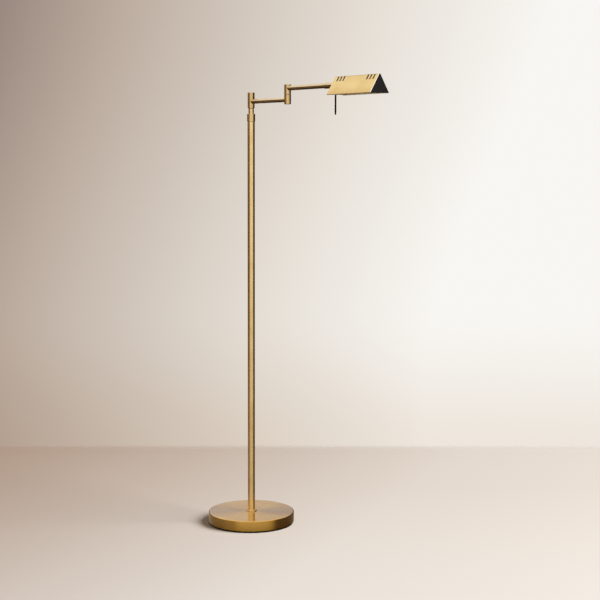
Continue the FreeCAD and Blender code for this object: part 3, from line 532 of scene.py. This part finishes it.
def finish(name, shape, body, slot, material, *replaced):
    """Makes the shape an object on its body, in the place of its CAD nodes."""
    bmesh.ops.scale(shape, verts=shape.verts[:], vec=(MM, MM, MM))
    mesh = bpy.data.meshes.new(name)
    shape.to_mesh(mesh)
    shape.free()
    mesh.materials.append(material)
    mesh.shade_smooth()
    mesh.set_sharp_from_angle(angle=math.radians(35))
    item = bpy.data.objects.new(name, mesh)
    bpy.context.scene.collection.objects.link(item)
    # the normals of large flat faces win over those of the soft edges beside them
    item.modifiers.new("flat_faces", "WEIGHTED_NORMAL").keep_sharp = True
    item.data = bpy.data.meshes.new_from_object(item.evaluated_get(bpy.context.evaluated_depsgraph_get()))
    item.modifiers.clear()
    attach(item, body)
    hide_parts(*replaced)


def base_cover():
    """Pressed and spun cover: flat top, rolled edge, and a rim that is barrelled a little."""
    low, high = corners("base_cover")
    wall = 1.2
    hole = 5.05
    barrel = 0.6
    waist = (low.z + high.z) / 2
    shape = lathe(
        [
            (high.x - wall, low.z),
            (high.x - barrel, low.z),
            (high.x, waist),
            (high.x - barrel, high.z),
            (hole, high.z),
            (hole, high.z - wall),
            (high.x - wall, high.z - wall),
        ],
        steps=256,
    )
    soften(shape, 9, circle(shape, high.x, waist), 8)
    soften(shape, 2.2, circle(shape, high.x - barrel, high.z), 7)
    soften(shape, 0.4, circle(shape, high.x - barrel, low.z))
    finish("base_cover_spun", shape, "stand", "base_brass", FINISHES["base_brass"], "base_cover")


def base_pad():
    """Rubber pad with a rounded foot edge."""
    low, high = corners("base_pad")
    shape = lathe([(0, low.z), (high.x, low.z), (high.x, high.z), (0, high.z)], steps=192)
    soften(shape, 1.2, circle(shape, high.x, low.z), 4)
    soften(shape, 0.3, circle(shape, high.x, high.z), 2)
    finish("base_pad_moulded", shape, "stand", "black_rubber", FINISHES["black_rubber"], "base_pad")


def cord_inlet():
    """Moulded bush: a rounded lip outside the rim, on a plain neck."""
    low, high = corners("cord_inlet")
    neck, lip, bore = 5.0, 6.5, 3.25
    rim = low.x + 2
    shape = lathe([(bore, low.x), (lip, low.x), (lip, rim), (neck, rim), (neck, high.x), (bore, high.x)], steps=48)
    soften(shape, 0.9, circle(shape, lip, low.x), 4)
    soften(shape, 0.7, circle(shape, bore, low.x), 4)
    soften(shape, 0.3, circle(shape, lip, rim), 2)
    soften(shape, 0.5, circle(shape, neck, high.x), 2)
    lay_along_x(shape, (low.z + high.z) / 2)
    finish("cord_inlet_bush", shape, "stand", "black_rubber", FINISHES["black_rubber"], "cord_inlet")


def pole_flange():
    """Ring at the pole's foot, with a rounded shoulder and a fine groove where it meets the pole."""
    low, high = corners("pole_flange")
    bore = 9.55
    groove = 0.35
    shape = lathe(
        [
            (bore, low.z),
            (high.x, low.z),
            (high.x, high.z),
            (bore + 2 * groove, high.z),
            (bore + groove, high.z - groove),
            (bore, high.z - groove),
        ],
        steps=96,
    )
    soften(shape, 1.0, circle(shape, high.x, high.z), 5)
    soften(shape, 0.15, circle(shape, bore + 2 * groove, high.z), 2)
    finish("pole_flange_ring", shape, "stand", "satin_brass", brass_hub, "pole_flange")


def upright_tube(node, name, body, wall, edge):
    """Tube on the pole's axis, with its outer edges turned soft."""
    low, high = corners(node)
    shape = lathe([(high.x - wall, low.z), (high.x, low.z), (high.x, high.z), (high.x - wall, high.z)])
    for height in (low.z, high.z):
        soften(shape, edge, circle(shape, high.x, height), 2)
    finish(name, shape, body, "satin_brass", brass_upright, node)


def height_collar():
    """Lock ring with softened edges, open below for the neck that it screws on to."""
    low, high = corners("height_collar")
    thread, lip_hole, lip = 8.95, 7.2, 3.2
    shape = lathe(
        [
            (thread, low.z),
            (high.x, low.z),
            (high.x, high.z),
            (lip_hole, high.z),
            (lip_hole, high.z - lip),
            (thread, high.z - lip),
        ]
    )
    for height in (low.z, high.z):
        soften(shape, 0.6, circle(shape, high.x, height), 4)
    soften(shape, 0.2, circle(shape, lip_hole, high.z), 2)
    finish("height_collar_ring", shape, "lock_collar", "satin_brass", brass_hub, "height_collar")


def hub_body():
    """Turned cup that the lower arm goes into, with a floor for the stem."""
    low, high = corners("hub_body")
    cavity, stem, floor = 7.3, 5.05, 6
    shape = lathe(
        [
            (stem, low.z),
            (high.x, low.z),
            (high.x, high.z),
            (cavity, high.z),
            (cavity, low.z + floor),
            (stem, low.z + floor),
        ]
    )
    soften(shape, 0.5, circle(shape, high.x, low.z), 4)
    soften(shape, 0.12, circle(shape, high.x, high.z), 2)
    finish("hub_body_turned", shape, "lower_arm", "satin_brass", brass_hub, "hub_body")


def elbow_half(node, name, body, split_is_top):
    """Turned half of the elbow: a web at the split that the stem goes through, and a cavity at the other end."""
    low, high = corners(node)
    cavity, stem, web = 6.9, 4.05, 4.5
    middle = (low.x + high.x) / 2
    radius = high.x - middle
    split, seam, inner = (high.z, low.z, high.z - web) if split_is_top else (low.z, high.z, low.z + web)
    shape = lathe(
        [(stem, split), (radius, split), (radius, seam), (cavity, seam), (cavity, inner), (stem, inner)]
    )
    soften(shape, 0.4, circle(shape, radius, split), 3)
    soften(shape, 0.12, circle(shape, radius, seam), 2)
    shift(shape, x=middle)
    finish(name, shape, body, "satin_brass", brass_elbow, node)


def plug_cap(node, name, body, material, plug, faces_up):
    """Cap with a rounded edge and a spigot that plugs into a cavity."""
    low, high = corners(node)
    spigot = 1.8
    middle = (low.x + high.x) / 2
    radius = high.x - middle
    inner, step, outer = (low.z, low.z + spigot, high.z) if faces_up else (high.z, high.z - spigot, low.z)
    shape = lathe([(0, inner), (plug, inner), (plug, step), (radius, step), (radius, outer), (0, outer)])
    soften(shape, 0.7, circle(shape, radius, outer), 5)
    soften(shape, 0.12, circle(shape, radius, step), 2)
    shift(shape, x=middle)
    finish(name, shape, body, "satin_brass", material, node)


def arm_tube(node, name, body, material, height, start, end):
    """Tube between two upright rounds, its ends cut to saddles that lie inside their walls."""
    outer, wall = 6.0, 1.0
    shape = lathe([(outer - wall, 0), (outer, 0), (outer, 1), (outer - wall, 1)])
    lay_along_x(shape, height)
    for vert in shape.verts:
        (centre, radius), side = (start, 1) if vert.co.x < 0.5 else (end, -1)
        vert.co.x = centre + side * (math.sqrt(radius**2 - vert.co.y**2) if radius else 0)
    bmesh.ops.recalc_face_normals(shape, faces=shape.faces[:])
    finish(name, shape, body, "satin_brass", material, node)


def swivel_sleeve():
    """Sleeve on the arm's end, rounded at its open edge, with the flange that is staked to the shade."""
    low, high = corners("swivel_sleeve")
    wide, narrow, seat, flange = 6.05, 5.0, 10, 1.4
    rim = high.y
    shape = lathe(
        [
            (wide, low.x),
            (SLEEVE, low.x),
            (SLEEVE, high.x - flange),
            (rim, high.x - flange),
            (rim, high.x),
            (narrow, high.x),
            (narrow, high.x - seat),
            (wide, high.x - seat),
        ]
    )
    soften(shape, 0.5, circle(shape, SLEEVE, low.x), 4)
    soften(shape, 0.2, circle(shape, rim, high.x - flange), 2)
    lay_along_x(shape, UPPER_ARM / MM)
    finish("swivel_sleeve_tube", shape, "shade", "satin_brass", brass_upper_arm, "swivel_sleeve")


def dimmer_barrel():
    """Turned cup under the sleeve, its top cut to a saddle inside the sleeve's wall."""
    low, high = corners("dimmer_barrel")
    middle = (low.x + high.x) / 2
    radius = high.x - middle
    wall, roof, saddle = 1, 2, 6.7
    bore = radius - wall
    ceiling = UPPER_ARM / MM - SLEEVE - roof
    shape = lathe([(0, high.z), (radius, high.z), (radius, low.z), (bore, low.z), (bore, ceiling), (0, ceiling)], 48)
    soften(shape, 0.4, circle(shape, radius, low.z), 3)
    for vert in shape.verts:
        if vert.co.z > high.z - 0.01:
            vert.co.z = UPPER_ARM / MM - math.sqrt(saddle**2 - vert.co.y**2)
    shift(shape, x=middle)
    finish("dimmer_barrel_turned", shape, "shade", "satin_brass", brass_barrel, "dimmer_barrel")


def wand():
    """Thin rod with a head inside the barrel, and a tapered end piece."""
    low, high = corners("dimmer_wand")
    radius, head, head_height = 2.1, 2.8, 2
    shape = lathe(
        [
            (0, low.z),
            (radius, low.z),
            (radius, high.z - head_height),
            (head, high.z - head_height),
            (head, high.z),
            (0, high.z),
        ],
        steps=32,
    )
    shift(shape, x=WAND / MM)
    finish("dimmer_wand_rod", shape, "dimmer_wand", "wand_black", FINISHES["wand_black"], "dimmer_wand")
    low, high = corners("wand_tip")
    wide, narrow = 2.4, 1.8
    shape = lathe([(0, low.z), (narrow, low.z), (wide, high.z), (0, high.z)], steps=32)
    soften(shape, 0.7, circle(shape, narrow, low.z), 4)
    soften(shape, 0.4, circle(shape, wide, high.z), 3)
    shift(shape, x=WAND / MM)
    finish("wand_tip_turned", shape, "dimmer_wand", "wand_black", FINISHES["wand_black"], "wand_tip")


def tip_end_cap():
    """Moulded cap: a softly edged triangular face, and behind it a rim that plugs into the shade."""
    high = corners("tip_end_cap")[1]
    foot = corners("shade_shell")[0].z
    width, drop, ridge, corner = 53.6, 45.4, 1.65, 1.25
    face, fit, rim, depth = 1.5, 0.95, 1.4, 6
    slant = math.atan2(width / 2, drop)
    shape = bmesh.new()

    def triangle(start, inset):
        """The shade's section, with its faces moved in by the inset."""
        peak = foot + drop - inset / math.sin(slant)
        half = (peak - foot - inset) * math.tan(slant)
        points = [(start, 0, peak), (start, half, foot + inset), (start, -half, foot + inset)]
        points = [shape.verts.new(point) for point in points]
        return points, shape.faces.new(points)

    def pull(faces, length):
        made = bmesh.ops.extrude_face_region(shape, geom=faces)["geom"]
        moved = [item for item in made if isinstance(item, bmesh.types.BMVert)]
        bmesh.ops.translate(shape, verts=moved, vec=(length, 0, 0))

    points, _ = triangle(high.x - face, 0)
    for some, reach in (
        (points[:1], ridge / math.tan(slant)),
        (points[1:], corner / math.tan(math.pi / 4 - slant / 2)),
    ):
        bmesh.ops.bevel(
            shape,
            geom=some,
            offset=reach,
            offset_type="OFFSET",
            affect="VERTICES",
            segments=6,
            profile=0.5,
            material=-1,
        )
    pull(shape.faces[:], face)
    front = max(shape.faces, key=lambda item: item.calc_center_median().x)
    soften(shape, 0.4, list(front.edges), 4)
    # the rim starts inside the face, so that the two are one solid
    _, middle = triangle(high.x - face / 2, fit)
    middle.normal_update()
    walls = bmesh.ops.inset_individual(shape, faces=[middle], thickness=rim, use_even_offset=True)["faces"]
    bmesh.ops.delete(shape, geom=[middle], context="FACES_ONLY")
    pull(walls, -depth - face / 2)
    bmesh.ops.recalc_face_normals(shape, faces=shape.faces[:])
    finish("tip_end_cap_moulded", shape, "shade", "black_plastic", FINISHES["black_plastic"], "tip_end_cap")


# Where the arms' tubes end, and the radius of the saddle there, in millimetres; the last end is cut square
AT_HUB = 0, 8.1
AT_ELBOW = ELBOW / MM, 7.7
AT_SPINDLE = corners("upper_arm")[1].x, 0

base_cover()
base_pad()
cord_inlet()
pole_flange()
upright_tube("lower_pole", "lower_pole_tube", "stand", wall=1.2, edge=0.25)
upright_tube("upper_pole", "upper_pole_tube", "stand", wall=1.2, edge=0.25)
height_collar()
upright_tube("mast_tube", "mast_tube_drawn", "mast", wall=1.0, edge=0.15)
hub_body()
plug_cap("hub_cap", "hub_cap_turned", "lower_arm", brass_hub, plug=7.25, faces_up=True)
arm_tube("lower_arm", "lower_arm_tube", "lower_arm", brass_lower_arm, LOWER_ARM / MM, AT_HUB, AT_ELBOW)
elbow_half("elbow_lower", "elbow_lower_turned", "lower_arm", split_is_top=True)
plug_cap("elbow_bottom_cap", "elbow_bottom_cap_turned", "lower_arm", brass_elbow, plug=6.85, faces_up=False)
elbow_half("elbow_upper", "elbow_upper_turned", "upper_arm", split_is_top=False)
plug_cap("elbow_cap", "elbow_cap_turned", "upper_arm", brass_elbow, plug=6.85, faces_up=True)
arm_tube("upper_arm", "upper_arm_tube", "upper_arm", brass_upper_arm, UPPER_ARM / MM, AT_ELBOW, AT_SPINDLE)
swivel_sleeve()
dimmer_barrel()
wand()
tip_end_cap()
